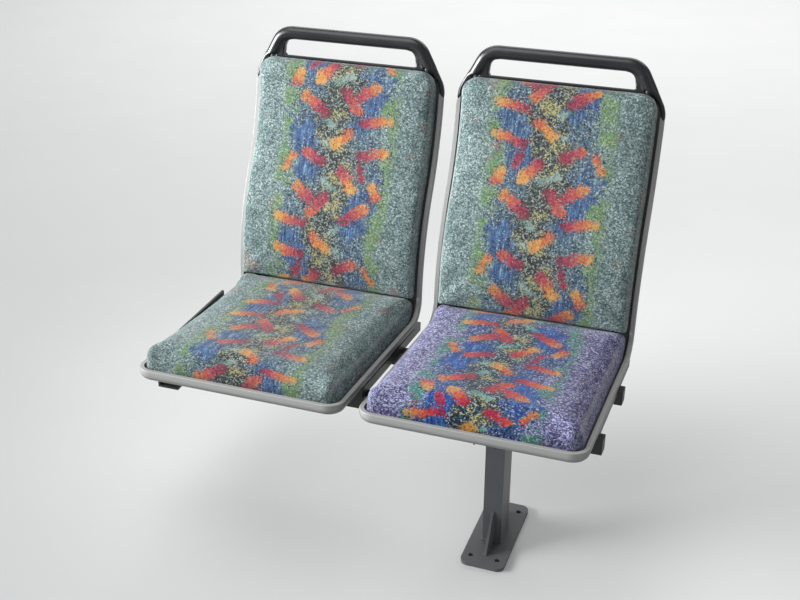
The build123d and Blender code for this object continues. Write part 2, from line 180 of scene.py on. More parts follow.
def ramp(tree, value, stops, steps=False):
    """Colours by value; with steps, each colour holds until the next one."""
    made = node(tree, "ShaderNodeValToRGB", {0: value})
    band = made.color_ramp
    band.interpolation = "CONSTANT" if steps else "LINEAR"
    while len(band.elements) < len(stops):
        band.elements.new(0.5)
    for element, (place, colour) in zip(band.elements, stops):
        element.position = place
        element.color = colour
    return made.outputs[0]


def rise(tree, value, low, high):
    """A soft step from 0 at low to 1 at high."""
    inputs = {0: value, 1: low, 2: high}
    return node(tree, "ShaderNodeMapRange", inputs, interpolation_type="SMOOTHSTEP").outputs[0]


def linear(level):
    """The light of a screen value from 0 to 1."""
    return level / 12.92 if level <= 0.04045 else ((level + 0.055) / 1.055) ** 2.4


def rgb(red, green, blue):
    """A colour by its screen values, 0 to 255."""
    return (*[linear(level / 255) for level in (red, green, blue)], 1.0)


def material(name, **constants):
    """A new material with its tree and surface shader; constants stay on the shader's own sockets."""
    made = bpy.data.materials.new(name)
    made.use_nodes = True
    tree = made.node_tree
    surface = tree.nodes["Principled BSDF"]
    for key, value in constants.items():
        surface.inputs[key.replace("_", " ").title().replace("Ior", "IOR")].default_value = value
    return made, tree, surface


def bumpy(tree, surface, height, distance, strength):
    made = node(tree, "ShaderNodeBump", {"Strength": strength, "Distance": distance, "Height": height})
    tree.links.new(made.outputs[0], surface.inputs["Normal"])


def model_place(tree):
    return tree.nodes.new("ShaderNodeTexCoord").outputs["Object"]


# Cloth: a moquette of small tufts. Each tuft takes one colour, chosen by chance among those of its region.
# The repeat is in metres, and the tufts are counted per metre. The weave's rows turn by radians per metre.
repeat = 0.23
tufts_per_metre = 390.0
weave_pace = 4800.0
tuft_blend = 0.32

stroke_group = bpy.data.node_groups.new("stroke", "ShaderNodeTree")
for kind, labels in (("Vector", ("Place", "Turn", "Side")), ("Float", ("Across", "Along", "Reach"))):
    for label in labels:
        stroke_group.interface.new_socket(label, in_out="INPUT", socket_type=f"NodeSocket{kind}")
for label in ("Off", "Share"):
    stroke_group.interface.new_socket(label, in_out="OUTPUT", socket_type="NodeSocketFloat")


def build_stroke(tree):
    """How far off a dash a place is, and its share along it. The dash returns mirrored at each repeat."""
    given = tree.nodes.new("NodeGroupInput").outputs
    result = tree.nodes.new("NodeGroupOutput").inputs
    parts = split(tree, given["Place"])
    ahead = calc(tree, "SUBTRACT", parts[1], given["Along"])
    count = calc(tree, "ROUND", calc(tree, "DIVIDE", ahead, repeat))
    ahead = calc(tree, "SUBTRACT", ahead, calc(tree, "MULTIPLY", count, repeat))
    odd = calc(tree, "ABSOLUTE", calc(tree, "MODULO", count, 2.0))
    flip = calc(tree, "MULTIPLY_ADD", odd, -2.0, 1.0)
    across = calc(tree, "SUBTRACT", calc(tree, "MULTIPLY", parts[0], flip), given["Across"])
    step = node(tree, "ShaderNodeCombineXYZ", {0: across, 1: ahead}).outputs[0]
    down = dot(tree, step, given["Turn"])
    side = dot(tree, step, given["Side"])
    back = calc(tree, "MULTIPLY", given["Reach"], -1.0)
    held = calc(tree, "MAXIMUM", calc(tree, "MINIMUM", down, given["Reach"]), back)
    over = calc(tree, "SUBTRACT", down, held)
    square = calc(tree, "ADD", calc(tree, "MULTIPLY", over, over), calc(tree, "MULTIPLY", side, side))
    tree.links.new(calc(tree, "SQRT", square), result["Off"])
    share = calc(tree, "DIVIDE", down, given["Reach"])
    tree.links.new(calc(tree, "MULTIPLY_ADD", share, 0.5, 0.5), result["Share"])


build_stroke(stroke_group)

# Dashes of the cloth: across, along (m), angle (degrees), half length of the middle line, half width (m),
# and the tone at both ends, from 0 for crimson to 1 for yellow. Those without tones are pale.
dashes = (
    (0.086, 0.020, 10, 0.030, 0.0105, (0.10, 0.98)),
    (0.026, 0.060, -54, 0.024, 0.0125, (0.05, 0.55)),
    (0.062, 0.082, 34, 0.020, 0.0120, (0.15, 0.80)),
    (-0.058, 0.046, 146, 0.028, 0.0120, (0.00, 0.75)),
    (-0.100, 0.100, 62, 0.012, 0.0110, (0.55, 0.95)),
    (-0.034, 0.118, 230, 0.022, 0.0125, (0.20, 1.00)),
    (-0.064, 0.138, 250, 0.012, 0.0090, (0.00, 0.15)),
    (-0.084, 0.180, 168, 0.029, 0.0105, (0.00, 0.90)),
    (0.048, 0.160, 24, 0.019, 0.0115, (0.00, 0.45)),
    (0.104, 0.146, -60, 0.016, 0.0075, (0.60, 0.85)),
    (-0.012, 0.206, -38, 0.020, 0.0115, (0.60, 1.00)),
    (0.004, 0.104, 26, 0.020, 0.0065, None),
    (-0.024, 0.012, -32, 0.016, 0.0060, None),
    (0.014, 0.190, 12, 0.015, 0.0060, None),
)


def dabbed(tree, colour, chance, likely, paint):
    """Paints the tufts that chance picks, and tints the ones between them a little."""
    chosen = calc(tree, "LESS_THAN", chance, likely)
    share = calc(tree, "MULTIPLY_ADD", chosen, 1 - tuft_blend, calc(tree, "MULTIPLY", likely, tuft_blend))
    return mix(tree, share, colour, paint)


def with_dashes(tree, colour, tuft, chance, darker, fire, pale):
    """Pale dashes, then fiery ones with dark tufts round them, their edges ragged and mingled."""
    shove = node(tree, "ShaderNodeTexNoise", {"Vector": tuft, "Scale": 60.0, "Detail": 2.0})
    shove = scaled(tree, shove.outputs["Color"], (0.018, 0.018, 0.0), (-0.009, -0.009, 0.0))
    bent = node(tree, "ShaderNodeVectorMath", {0: tuft, 1: shove}, operation="ADD").outputs[0]
    for x, y, angle, reach, radius, tones in sorted(dashes, key=lambda row: row[5] is not None):
        lean = radians(angle)
        places = {
            "Place": bent,
            "Across": x,
            "Along": y,
            "Turn": (cos(lean), sin(lean), 0.0),
            "Side": (-sin(lean), cos(lean), 0.0),
            "Reach": reach,
        }
        dash = tree.nodes.new("ShaderNodeGroup")
        dash.node_tree = stroke_group
        for key, value in places.items():
            feed(tree, dash.inputs[key], value)
        off = dash.outputs["Off"]
        if tones:
            ring = calc(tree, "MULTIPLY", rise(tree, off, radius + 0.012, radius + 0.001), 0.34)
            colour = dabbed(tree, colour, chance[0], ring, darker)
        inside = calc(tree, "MULTIPLY", rise(tree, off, radius + 0.0055, radius - 0.0070), 0.90)
        low, high = tones or (0.0, 1.0)
        share = calc(tree, "MULTIPLY_ADD", dash.outputs["Share"], high - low, low)
        share = calc(tree, "ADD", share, calc(tree, "MULTIPLY_ADD", chance[2], 0.44, -0.22))
        colour = dabbed(tree, colour, chance[1], inside, ramp(tree, share, fire if tones else pale))
    return colour


def moquette(name, ground, mingled, bright, blues, dark, fringe, fire, pale, strength):
    """The cloth in one colouring: each region's colours by their share of the tufts, dimmed by strength."""
    made, tree, surface = material(name, sheen_weight=0.22, sheen_roughness=0.4, specular_ior_level=0.18)
    place = node(tree, "ShaderNodeUVMap", {}, uv_map="Cloth").outputs[0]
    tufts = node(
        tree,
        "ShaderNodeTexVoronoi",
        {"Vector": place, "Scale": tufts_per_metre, "Randomness": 1.0},
        voronoi_dimensions="2D",
    ).outputs
    tuft = tufts["Position"]
    chance = node(tree, "ShaderNodeSeparateColor", {0: tufts["Color"]}).outputs
    across, along = split(tree, tuft)[:2]
    out = calc(tree, "ABSOLUTE", across)
    broad = grain(tree, tuft, 22.0, 2.0)
    patch = grain(tree, tuft, 46.0, 3.0)
    streak = grain(tree, scaled(tree, place, (260.0, 20.0, 0.0)), 1.0, 2.0)
    turn = calc(tree, "MULTIPLY", along, 2 * pi / repeat)
    sway = calc(tree, "MULTIPLY", calc(tree, "COSINE", turn), 0.014)
    edge = calc(tree, "ABSOLUTE", calc(tree, "ADD", across, sway))
    edge = calc(tree, "MULTIPLY_ADD", patch, 0.070, calc(tree, "SUBTRACT", edge, 0.035))

    # Ground, in lighter and darker drifts
    drift = calc(tree, "MULTIPLY_ADD", broad, 0.5, -0.25)
    colour = ramp(tree, calc(tree, "ADD", chance[0], drift), ground, steps=True)

    # Faint rust drifts, and a painted highlight where the cloth turns over the pad's sides
    likely = calc(tree, "MULTIPLY", rise(tree, grain(tree, tuft, 13.0, 1.0), 0.58, 0.74), 0.34)
    colour = dabbed(tree, colour, chance[2], likely, rgb(156, 114, 98))
    # Painted highlight: a pale band along both side edges of the pad, where the cloth rolls over
    hem_highlight = calc(tree, "MULTIPLY", rise(tree, out, 0.199, 0.206), rise(tree, out, 0.220, 0.212))
    colour = mix(tree, calc(tree, "MULTIPLY", hem_highlight, 0.24), colour, rgb(204, 208, 202))

    # Soft green flecks on both fringes
    fleck = calc(tree, "MULTIPLY", rise(tree, out, 0.084, 0.104), rise(tree, out, 0.146, 0.118))
    spots = rise(tree, grain(tree, tuft, 17.0, 1.0), 0.34, 0.58)
    likely = calc(tree, "MULTIPLY", calc(tree, "MULTIPLY", fleck, spots), 0.80)
    colour = dabbed(tree, colour, chance[1], likely, ramp(tree, chance[2], fringe, steps=True))

    # Inside the stripe the ground is mingled with steel blue and dark tufts
    inner = calc(tree, "MULTIPLY", rise(tree, edge, 0.116, 0.084), 0.92)
    colour = dabbed(tree, colour, chance[2], inner, ramp(tree, chance[0], mingled, steps=True))

    # Blue patches with fine streaks along the cloth, by turns left and right of the middle
    column = calc(tree, "MULTIPLY", rise(tree, edge, 0.026, 0.046), rise(tree, edge, 0.112, 0.082))
    swing = calc(tree, "MULTIPLY", calc(tree, "SINE", turn), calc(tree, "SIGN", across))
    patchy = rise(tree, calc(tree, "MULTIPLY_ADD", broad, 3.4, calc(tree, "ADD", swing, -1.7)), -0.9, 0.5)
    likely = calc(tree, "MULTIPLY", column, calc(tree, "MULTIPLY_ADD", patchy, 0.70, 0.16))
    shade = calc(tree, "MULTIPLY_ADD", patch, 0.8, calc(tree, "MULTIPLY_ADD", streak, 1.5, -0.80))
    shade = calc(tree, "MULTIPLY_ADD", chance[2], 0.34, shade)
    colour = dabbed(tree, colour, chance[1], likely, ramp(tree, shade, blues))

    # Dark middle, thick with small bright specks
    middle = calc(tree, "MULTIPLY", rise(tree, edge, 0.060, 0.024), 0.86)
    darker = ramp(tree, chance[2], dark, steps=True)
    colour = dabbed(tree, colour, chance[0], middle, darker)
    specks = calc(tree, "MULTIPLY", rise(tree, edge, 0.044, 0.012), rise(tree, broad, 0.46, 0.62))
    likely = calc(tree, "MULTIPLY", specks, 0.46)
    colour = dabbed(tree, colour, chance[1], likely, bright)

    colour = with_dashes(tree, colour, tuft, chance, darker, fire, pale)

    # Wool: a little change from tuft to tuft, streaks in the stripe and slow fading over the seat
    stripe = rise(tree, out, 0.120, 0.095)
    lines = calc(tree, "MULTIPLY", calc(tree, "MULTIPLY_ADD", streak, 0.7, -0.35), stripe)
    value = calc(tree, "MULTIPLY_ADD", chance[2], 0.16, calc(tree, "MULTIPLY_ADD", broad, 0.24, 0.80))
    value = calc(tree, "MULTIPLY", calc(tree, "ADD", value, lines), strength)
    tone = node(tree, "ShaderNodeHueSaturation", {"Saturation": 1.0, "Value": value, "Color": colour})
    tree.links.new(tone.outputs[0], surface.inputs["Base Color"])
    rows = calc(tree, "SINE", calc(tree, "MULTIPLY", split(tree, place)[0], weave_pace))
    pile = calc(tree, "SUBTRACT", 1.0, tufts["Distance"])
    height = calc(tree, "MULTIPLY_ADD", rows, 0.12, pile)
    bumpy(tree, surface, height, 0.0006, 0.4)
    rough = calc(tree, "MULTIPLY_ADD", chance[1], 0.12, 0.82)
    tree.links.new(rough, surface.inputs["Roughness"])
    return made


green_cloth = moquette(
    "moquette green",
    ground=(
        (0.0, rgb(80, 97, 98)),
        (0.17, rgb(98, 117, 118)),
        (0.38, rgb(116, 136, 136)),
        (0.60, rgb(134, 154, 153)),
        (0.80, rgb(154, 172, 170)),
        (0.93, rgb(182, 194, 190)),
    ),
    mingled=(
        (0.0, rgb(56, 60, 66)),
        (0.24, rgb(80, 96, 120)),
        (0.46, rgb(96, 122, 120)),
        (0.70, rgb(116, 134, 138)),
        (0.88, rgb(166, 178, 172)),
    ),
    bright=rgb(188, 180, 116),
    blues=(
        (0.0, rgb(44, 56, 84)),
        (0.35, rgb(60, 82, 126)),
        (0.7, rgb(86, 118, 158)),
        (1.0, rgb(126, 158, 180)),
    ),
    dark=(
        (0.0, rgb(54, 55, 57)),
        (0.40, rgb(76, 81, 80)),
        (0.70, rgb(106, 116, 109)),
        (0.90, rgb(156, 161, 143)),
    ),
    fringe=((0.0, rgb(100, 132, 90)), (0.5, rgb(122, 154, 102)), (0.85, rgb(156, 168, 114))),
    fire=(
        (0.0, rgb(130, 56, 74)),
        (0.25, rgb(168, 72, 90)),
        (0.5, rgb(190, 94, 84)),
        (0.76, rgb(206, 126, 74)),
        (1.0, rgb(208, 160, 92)),
    ),
    pale=((0.0, rgb(104, 134, 128)), (1.0, rgb(152, 174, 164))),
    strength=0.64,
)
violet_cloth = moquette(
    "moquette violet",
    ground=(
        (0.0, rgb(66, 64, 102)),
        (0.20, rgb(94, 91, 138)),
        (0.42, rgb(122, 120, 168)),
        (0.64, rgb(156, 156, 196)),
        (0.85, rgb(198, 200, 222)),
    ),
    mingled=(
        (0.0, rgb(34, 36, 60)),
        (0.24, rgb(44, 70, 132)),
        (0.46, rgb(56, 108, 122)),
        (0.70, rgb(88, 96, 156)),
        (0.88, rgb(178, 180, 208)),
    ),
    bright=rgb(204, 194, 112),
    blues=(
        (0.0, rgb(20, 32, 96)),
        (0.35, rgb(32, 64, 158)),
        (0.7, rgb(50, 106, 182)),
        (1.0, rgb(78, 162, 182)),
    ),
    dark=(
        (0.0, rgb(30, 36, 44)),
        (0.5, rgb(44, 60, 74)),
        (0.74, rgb(60, 112, 106)),
        (0.9, rgb(170, 180, 176)),
    ),
    fringe=((0.0, rgb(60, 130, 106)), (0.5, rgb(74, 148, 138)), (0.85, rgb(138, 174, 150))),
    fire=(
        (0.0, rgb(154, 34, 66)),
        (0.25, rgb(192, 46, 66)),
        (0.5, rgb(212, 78, 58)),
        (0.76, rgb(220, 118, 58)),
        (1.0, rgb(218, 166, 88)),
    ),
    pale=((0.0, rgb(62, 150, 148)), (1.0, rgb(136, 186, 176))),
    strength=0.60,
)

# Moulded plastics and coated steel, all in the model's own coordinates


def moulded(name, base, light, roughness, grain_size, grain_depth, scuff, scuffed, painted_highlight=None, **rest):
    """Moulded plastic: fine grain, slow change of tone, short scuffs, and a painted highlight that makes
    faces turned up and forward paler.
    """
    made, tree, surface = material(name, **rest)
    place = model_place(tree)
    slow = grain(tree, place, 7.0, 3.0)
    fine = grain(tree, place, 1 / grain_size, 3.0, 0.6)
    colour = mix(tree, calc(tree, "MULTIPLY_ADD", slow, 1.4, -0.2), base, light)
    if painted_highlight:
        # Painted highlight: faces are mixed towards a paler colour by how far they turn up and forward, as
        # if lit from there.
        facing = node(tree, "ShaderNodeNewGeometry", {}).outputs["Normal"]
        towards = dot(tree, facing, (0.0, -0.7, 0.7))
        colour = mix(tree, rise(tree, towards, 0.15, 0.75), colour, painted_highlight)
    speck = rise(tree, fine, 0.35, 0.75)
    colour = mix(tree, calc(tree, "MULTIPLY", speck, 0.25), colour, light)
    drawn = scaled(tree, place, (34.0, 210.0, 120.0))
    scratches = rise(tree, grain(tree, drawn, 1.0, 4.0, 0.65), 0.60, 0.72)
    spots = rise(tree, grain(tree, place, 11.0, 2.0), 0.48, 0.66)
    wear = calc(tree, "MULTIPLY", calc(tree, "MULTIPLY", scratches, spots), scuffed)
    colour = mix(tree, wear, colour, scuff)
    tree.links.new(colour, surface.inputs["Base Color"])
    uneven = calc(tree, "MULTIPLY_ADD", slow, 0.22, roughness - 0.11)
    uneven = calc(tree, "MULTIPLY_ADD", wear, 0.25, uneven)
    tree.links.new(uneven, surface.inputs["Roughness"])
    bumpy(tree, surface, fine, grain_depth, 0.6)
    return made


shell_plastic = moulded(
    "shell plastic",
    base=rgb(98, 99, 97),
    light=rgb(120, 121, 118),
    roughness=0.46,
    grain_size=0.0011,
    grain_depth=0.0003,
    scuff=rgb(168, 168, 164),
    scuffed=0.5,
    # painted highlight: the paler grey on faces turned up and forward
    painted_highlight=rgb(152, 153, 150),
    specular_ior_level=0.5,
)
handle_plastic = moulded(
    "handle plastic",
    base=rgb(17, 18, 20),
    light=rgb(31, 32, 34),
    roughness=0.29,
    grain_size=0.0008,
    grain_depth=0.00012,
    scuff=rgb(92, 94, 96),
    scuffed=0.35,
    specular_ior_level=0.55,
)
cap_plastic = moulded(
    "cap plastic",
    base=rgb(20, 20, 21),
    light=rgb(36, 36, 37),
    roughness=0.55,
    grain_size=0.0009,
    grain_depth=0.0002,
    scuff=rgb(80, 80, 80),
    scuffed=0.4,
)


def coated(name, base, light, chip, dust):
    """Powder-coated steel: a fine orange-peel skin, small chips and dust near the floor."""
    made, tree, surface = material(name, specular_ior_level=0.5)
    place = model_place(tree)
    slow = grain(tree, place, 9.0, 3.0)
    peel = grain(tree, place, 620.0, 2.0, 0.55)
    colour = mix(tree, slow, base, light)
    height = split(tree, place)[2]
    low = rise(tree, calc(tree, "MULTIPLY_ADD", slow, 0.07, height), 0.115, 0.025)
    colour = mix(tree, calc(tree, "MULTIPLY", low, 0.3), colour, dust)
    chips = rise(tree, grain(tree, place, 95.0, 4.0, 0.7), 0.66, 0.70)
    chips = calc(tree, "MULTIPLY", chips, rise(tree, grain(tree, place, 14.0, 2.0), 0.50, 0.62))
    colour = mix(tree, chips, colour, chip)
    tree.links.new(colour, surface.inputs["Base Color"])
    rough = calc(tree, "MULTIPLY_ADD", low, 0.25, calc(tree, "MULTIPLY_ADD", slow, 0.2, 0.34))
    tree.links.new(rough, surface.inputs["Roughness"])
    bumpy(tree, surface, peel, 0.0002, 0.5)
    return made


black_coat = coated(
    "black powder coat",
    base=rgb(22, 23, 24),
    light=rgb(38, 39, 40),
    chip=rgb(98, 96, 92),
    dust=rgb(110, 106, 98),
)
grey_coat = coated(
    "grey powder coat",
    base=rgb(66, 69, 72),
    light=rgb(88, 91, 94),
    chip=rgb(142, 140, 136),
    dust=rgb(118, 116, 112),
)


def zinc_plate():
    made, tree, surface = material("zinc plate", metallic=1.0)
    place = model_place(tree)
    tone = grain(tree, place, 160.0, 3.0)
    colour = mix(tree, tone, rgb(150, 152, 150), rgb(196, 196, 190))
    stains = rise(tree, grain(tree, place, 60.0, 3.0), 0.52, 0.70)
    colour = mix(tree, calc(tree, "MULTIPLY", stains, 0.5), colour, rgb(118, 106, 88))
    tree.links.new(colour, surface.inputs["Base Color"])
    tree.links.new(calc(tree, "MULTIPLY_ADD", tone, 0.25, 0.28), surface.inputs["Roughness"])
    bumpy(tree, surface, grain(tree, place, 900.0, 2.0), 0.0001, 0.5)
    return made


zinc = zinc_plate()

node_finish = {
    "seat_shell": shell_plastic,
    "grab_handle": handle_plastic,
    "rail_caps": cap_plastic,
    "beam_cap": cap_plastic,
    "leg_post": grey_coat,
    "leg_foot": grey_coat,
    "leg_gussets": grey_coat,
    "back_pad": green_cloth,
    "squab_pad_window": green_cloth,
    "squab_pad_aisle": violet_cloth,
}
for name, piece in nodes.items():
    finish = next((finish for start, finish in node_finish.items() if name.startswith(start)), black_coat)
    for slot in piece.material_slots:
        slot.material = finish


# Meshes


def new_piece(name, mesh, finish):
    piece = bpy.data.objects.new(name, mesh)
    collection.objects.link(piece)
    mesh.materials.clear()
    mesh.materials.append(finish)
    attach(piece, "root")
    return piece


def baked(piece):
    """The mesh of an object with its modifiers applied."""
    graph = bpy.context.evaluated_depsgraph_get()
    return bpy.data.meshes.new_from_object(piece.evaluated_get(graph))


def remeshed(node_name, voxel):
    """A new even mesh over a CAD node's shape."""
    mesh = nodes[node_name].data.copy()
    work = bmesh.new()
    work.from_mesh(mesh)
    bmesh.ops.remove_doubles(work, verts=work.verts, dist=1e-6)
    work.to_mesh(mesh)
    work.free()
    helper = bpy.data.objects.new("helper", mesh)
    collection.objects.link(helper)
    skin = helper.modifiers.new("skin", "REMESH")
    skin.mode = "VOXEL"
    skin.voxel_size = voxel
    even = baked(helper)
    bpy.data.objects.remove(helper)
    return even


def points_of(mesh):
    flat = np.empty(len(mesh.vertices) * 3)
    mesh.vertices.foreach_get("co", flat)
    return flat.reshape(-1, 3)


def normals_of(mesh):
    flat = np.empty(len(mesh.vertices) * 3, dtype=np.float32)
    mesh.vertex_normals.foreach_get("vector", flat)
    return flat.reshape(-1, 3).astype(float)


def set_points(mesh, points):
    mesh.vertices.foreach_set("co", np.ascontiguousarray(points, dtype=np.float32).ravel())
    mesh.update()


def relaxed(mesh, points, rounds, share=0.5, keep=True):
    """Points drawn towards their neighbours; with keep, a push back follows each time, for the volume."""
    pairs = np.empty(len(mesh.edges) * 2, dtype=np.int64)
    mesh.edges.foreach_get("vertices", pairs)
    first, second = pairs.reshape(-1, 2).T
    count = np.bincount(pairs, minlength=len(points))[:, None]
    for turn in range(rounds):
        for pull in (share, -share * 1.02) if keep else (share,):
            total = np.zeros_like(points)
            np.add.at(total, first, points[second])
            np.add.at(total, second, points[first])
            points = points + (total / count - points) * pull
    return points


def shade_smooth(mesh):
    mesh.polygons.foreach_set("use_smooth", [True] * len(mesh.polygons))


# Pads: the CAD pad's shape, taken in a little, then blown up as sewn cloth over foam
pad_voxel = 0.0055
pad_rounds = 6
tuck_in = 0.0024
rim_tuck = 0.0012
tuck_band = (0.016, 0.004)
held_band = (0.012, 0.002)
cloth_steps = 20
move_rounds = 3
pressures = {"back": 4.0, "squab": 4.4}
crown_band = (0.10, 0.205)
back_give = (0.0020, 0.0062)
squab_give = (0.0016, 0.0078)
meeting = 0.0034
heel_reach = 0.0040


def blow_up(name, mesh, held, pressure):
    """Runs the cloth and gives back where its points end."""
    piece = bpy.data.objects.new(name, mesh)
    collection.objects.link(piece)
    group = piece.vertex_groups.new(name="held")
    for index, weight in enumerate(held):
        if weight > 0:
            group.add([index], float(weight), "REPLACE")
    cloth = piece.modifiers.new("cloth", "CLOTH")
    cloth.settings.quality = 6
    cloth.settings.mass = 0.25
    cloth.settings.tension_stiffness = 18
    cloth.settings.compression_stiffness = 18
    cloth.settings.shear_stiffness = 8
    cloth.settings.bending_stiffness = 1.2
    cloth.settings.air_damping = 3
    cloth.settings.use_pressure = True
    cloth.settings.uniform_pressure_force = pressure
    cloth.settings.vertex_group_mass = "held"
    cloth.settings.effector_weights.gravity = 0
    cloth.collision_settings.use_collision = False
    cloth.collision_settings.use_self_collision = False
    cloth.point_cache.frame_start = 1
    cloth.point_cache.frame_end = cloth_steps
    scene = bpy.context.scene
    for step in range(1, cloth_steps + 1):
        scene.frame_set(step)
    blown = baked(piece)
    points = points_of(blown)
    scene.frame_set(1)
    bpy.data.objects.remove(piece)
    bpy.data.meshes.remove(blown)
    return points


def cloth_map(mesh, places, outward, start):
    """The cloth's own map in metres, across the seat and along it, folded round the pad's edges."""
    across, along, depth = places.T
    side, forward = outward.T
    size = np.maximum(np.hypot(side, forward), 1e-6)
    fold = np.maximum(depth, 0)
    u = across + fold * side / size
    v = along + fold * forward / size + start
    layer = mesh.uv_layers.new(name="Cloth")
    loops = np.empty(len(mesh.loops), dtype=np.int64)
    mesh.loops.foreach_get("vertex_index", loops)
    layer.data.foreach_set("uv", np.stack([u[loops], v[loops]], axis=1).astype(np.float32).ravel())


def back_places(points, centre):
    shares = np.array([back_place(y, z) for _, y, z in points])
    return np.column_stack([points[:, 0] - centre, shares[:, 0] * back_cloth, shares[:, 1]])


def squab_places(points, centre):
    shares = np.array([squab_place(y, z) for _, y, z in points])
    return np.column_stack([points[:, 0] - centre, shares[:, 0], shares[:, 1]])


def ease(low, high, values):
    share = np.clip((values - low) / (high - low), 0, 1)
    return share * share * (3 - 2 * share)


def back_swell(places):
    """How far the back pad's cloth may stand off: less at its lower edge, its sides and the rim."""
    across, along, depth = places.T
    room = 1 - ease(0.006, 0.019, depth)
    lower = 0.35 + 0.65 * ease(0.0, 0.05, along)
    middle = 1 - 0.55 * ease(*crown_band, np.abs(across))
    return back_give[0] + back_give[1] * room * lower * middle


def squab_swell(places):
    """The same for the squab, which is fuller and has to pass under the back pad."""
    across, along, depth = places.T
    room = 1 - ease(0.020, 0.038, depth)
    heel = ease(0.004, 0.045, along)
    middle = 1 - 0.45 * ease(*crown_band, np.abs(across))
    return squab_give[0] + squab_give[1] * room * heel * middle


def near_rim(rim, band, depth):
    """0 on the pad's face and 1 at the shell's rim, with a soft step over a band before it."""
    return ease(rim - band[0], rim - band[1], depth)


def pressed(back, places):
    """Where the two pads meet, the back's lower edge comes down and the squab's heel rises to it."""
    along, depth = places.T[1:]
    if back:
        return ((1 - ease(0.0, 0.030, along)) * -meeting)[:, None] * np.array([0, *chord_up])
    upper = 1 - ease(0.004, 0.034, depth)
    lift = (1 - ease(0.0, 0.050, along)) * upper * meeting
    reach = (1 - ease(-0.020, 0.006, along)) * upper * heel_reach
    return np.column_stack([0 * lift, reach, lift])


def make_pad(seat, part, finish, start):
    """A pad in place of its CAD solid; start shifts the pattern along the cloth."""
    centre = seats[seat]
    back = part == "back"
    node_name = f"{part}_pad_{seat}"
    mesh = remeshed(node_name, pad_voxel)
    find = back_places if back else squab_places
    rest = relaxed(mesh, points_of(mesh), pad_rounds)
    set_points(mesh, rest)
    places = find(rest, centre)
    depth = places[:, 2]
    rim = back_rim_depth if back else squab_rim_depth
    tuck = tuck_in + rim_tuck * near_rim(rim, tuck_band, depth)
    begin = rest - normals_of(mesh) * tuck[:, None]
    set_points(mesh, begin)
    held = near_rim(rim, held_band, depth)
    blown = blow_up(f"{part} {seat}", mesh.copy(), held, pressures[part])
    move = blown - begin
    far = np.linalg.norm(move, axis=1)
    most = (back_swell if back else squab_swell)(places)
    print(node_name, "cloth moved up to", round(float(far.max()) * 1000, 1), "mm")
    held_back = most * np.tanh(far / most)
    move *= (held_back / np.maximum(far, 1e-9))[:, None]
    move = relaxed(mesh, move, move_rounds, keep=False)
    set_points(mesh, begin + move)
    set_points(mesh, points_of(mesh) + pressed(back, places))
    places = find(points_of(mesh), centre)
    normals = normals_of(mesh)
    onward = np.array([0, *(chord_up if back else squab_forward)])
    cloth_map(mesh, places, np.column_stack([normals[:, 0], normals @ onward]), start)
    shade_smooth(mesh)
    pad = new_piece(f"cloth_{part}_{seat}", mesh, finish)
    fine = pad.modifiers.new("fine", "SUBSURF")
    fine.levels = 1
    fine.render_levels = 1
    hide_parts(node_name)


make_pad("window", "back", green_cloth, 0.11)
make_pad("aisle", "back", green_cloth, 0.27)
make_pad("window", "squab", green_cloth, 0.05)
make_pad("aisle", "squab", violet_cloth, 0.19)

# Grab handles: one smooth moulding, with its web, strip and bar run into each other
handle_voxel = 0.0021
handle_rounds = 14
handle_pull = 0.55
for seat in seats:
    node_name = f"grab_handle_{seat}"
    mesh = remeshed(node_name, handle_voxel)
    set_points(mesh, relaxed(mesh, points_of(mesh), handle_rounds, share=handle_pull))
    shade_smooth(mesh)
    handle = new_piece(f"handle_{seat}", mesh, handle_plastic)
    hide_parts(node_name)

# Small hardware


class Shapes:
    """Collects small shapes into one mesh."""

    def __init__(self):
        self.points = []
        self.faces = []

    def rings(self, rings, closed=False):
        """Joins rings of like numbers of points: to a loop when closed, or else with a cap at each end."""
        start = len(self.points)
        count = len(rings[0])
        for ring in rings:
            self.points.extend(ring)
        bands = len(rings) if closed else len(rings) - 1
        for row in range(bands):
            low = start + row * count
            high = start + (row + 1) % len(rings) * count
            for turn in range(count):
                other = (turn + 1) % count
                self.faces.append((low + turn, low + other, high + other, high + turn))
        if not closed:
            self.faces.append(tuple(start + turn for turn in reversed(range(count))))
            top = start + (len(rings) - 1) * count
            self.faces.append(tuple(top + turn for turn in range(count)))

    def piece(self, name, finish, slot_name, angle=35):
        mesh = bpy.data.meshes.new(name)
        mesh.from_pydata([tuple(point) for point in self.points], [], self.faces)
        mesh.update()
        mesh.set_sharp_from_angle(angle=radians(angle))
        new_piece(name, mesh, finish)


def turning(place, direction, profile, sides, spin=0.0):
    """Rings round an axis; profile rows are (distance along, radius)."""
    axes = Vector(direction).normalized().to_track_quat("Z", "Y").to_matrix()
    turns = [spin + 2 * pi * turn / sides for turn in range(sides)]
    return [
        [Vector(place) + axes @ Vector((radius * cos(turn), radius * sin(turn), along)) for turn in turns]
        for along, radius in profile
    ]


def hex_bolt(shapes, place, direction, size, spin):
    """A flanged hexagon head that stands on a surface."""
    wide = size * 1.12
    flange = ((0, size * 1.05), (size * 0.10, size * 1.08), (size * 0.18, size * 1.0))
    head = (
        (size * 0.12, wide * 0.82),
        (size * 0.62, wide * 0.82),
        (size * 0.72, wide * 0.70),
        (size * 0.70, wide * 0.30),
    )
    shapes.rings(turning(place, direction, flange, 24))
    shapes.rings(turning(place, direction, head, 6, spin))


def pan_screw(shapes, place, direction, radius):
    """A low domed head with a round drive recess."""
    profile = (
        (0, radius),
        (radius * 0.22, radius * 0.99),
        (radius * 0.42, radius * 0.86),
        (radius * 0.54, radius * 0.60),
        (radius * 0.57, radius * 0.42),
        (radius * 0.34, radius * 0.38),
        (radius * 0.32, radius * 0.20),
    )
    shapes.rings(turning(place, direction, profile, 20))


